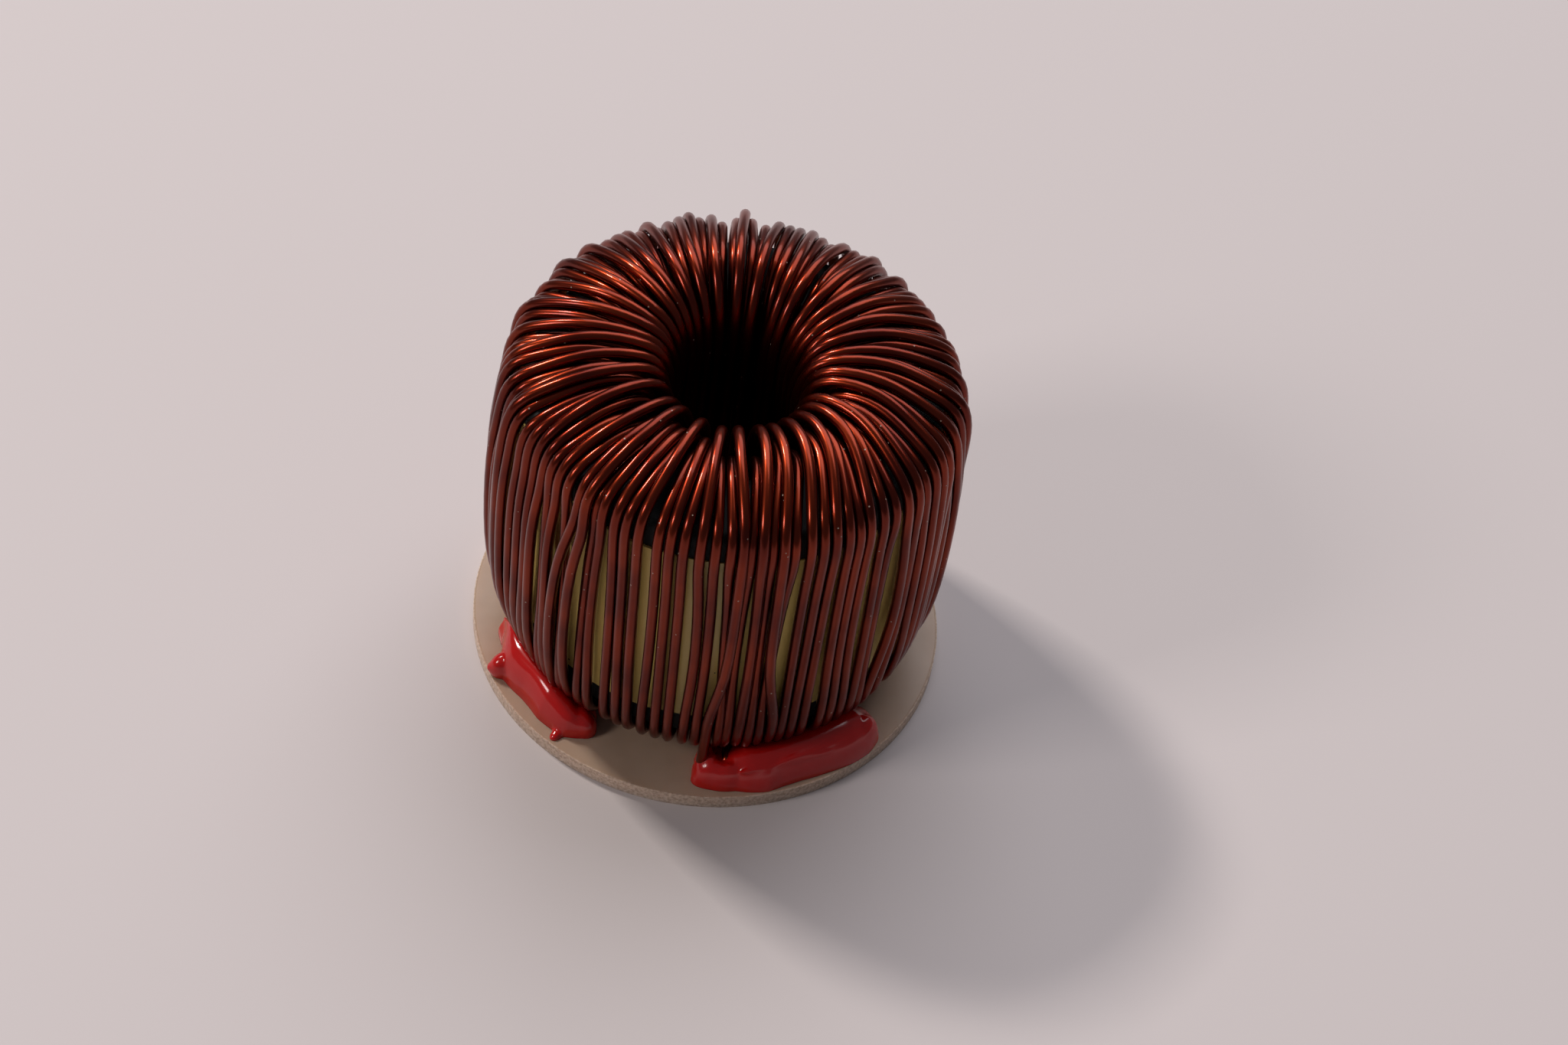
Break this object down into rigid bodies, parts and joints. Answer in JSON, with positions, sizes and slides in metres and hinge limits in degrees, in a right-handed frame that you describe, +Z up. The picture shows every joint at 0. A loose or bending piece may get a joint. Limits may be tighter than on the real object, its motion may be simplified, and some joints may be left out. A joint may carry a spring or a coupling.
{
  "type": "inductor",
  "caption": "Toroidal power choke: one layer-wound enamelled copper coil on stacked powder rings, glued with silicone beads to a round laminate base disc.",
  "frame": {"origin": "centre of the base disc's underside, on the coil's axis", "axes": "+Z up the coil's axis, -Y towards the two leads, +X to the right as seen from the leads"},
  "size_m": [0.048, 0.048, 0.0395],
  "materials": {
    "laminate": "satin, slightly translucent, with a rough sawn edge",
    "core_coating": "matt black coating on pressed powder",
    "yellow_tape": "satin film",
    "wire_enamel": "glossy clear enamel over copper",
    "red_silicone": "glossy cured sealant"
  },
  "bodies": {
    "root": {"base_disc": "laminate", "lower_core": "core_coating", "upper_core": "core_coating", "core_tape": "yellow_tape", "winding": "wire_enamel", "left_glue_bead": "red_silicone", "front_glue_bead": "red_silicone", "rear_glue_bead": "red_silicone"}
  },
  "joints": []
}
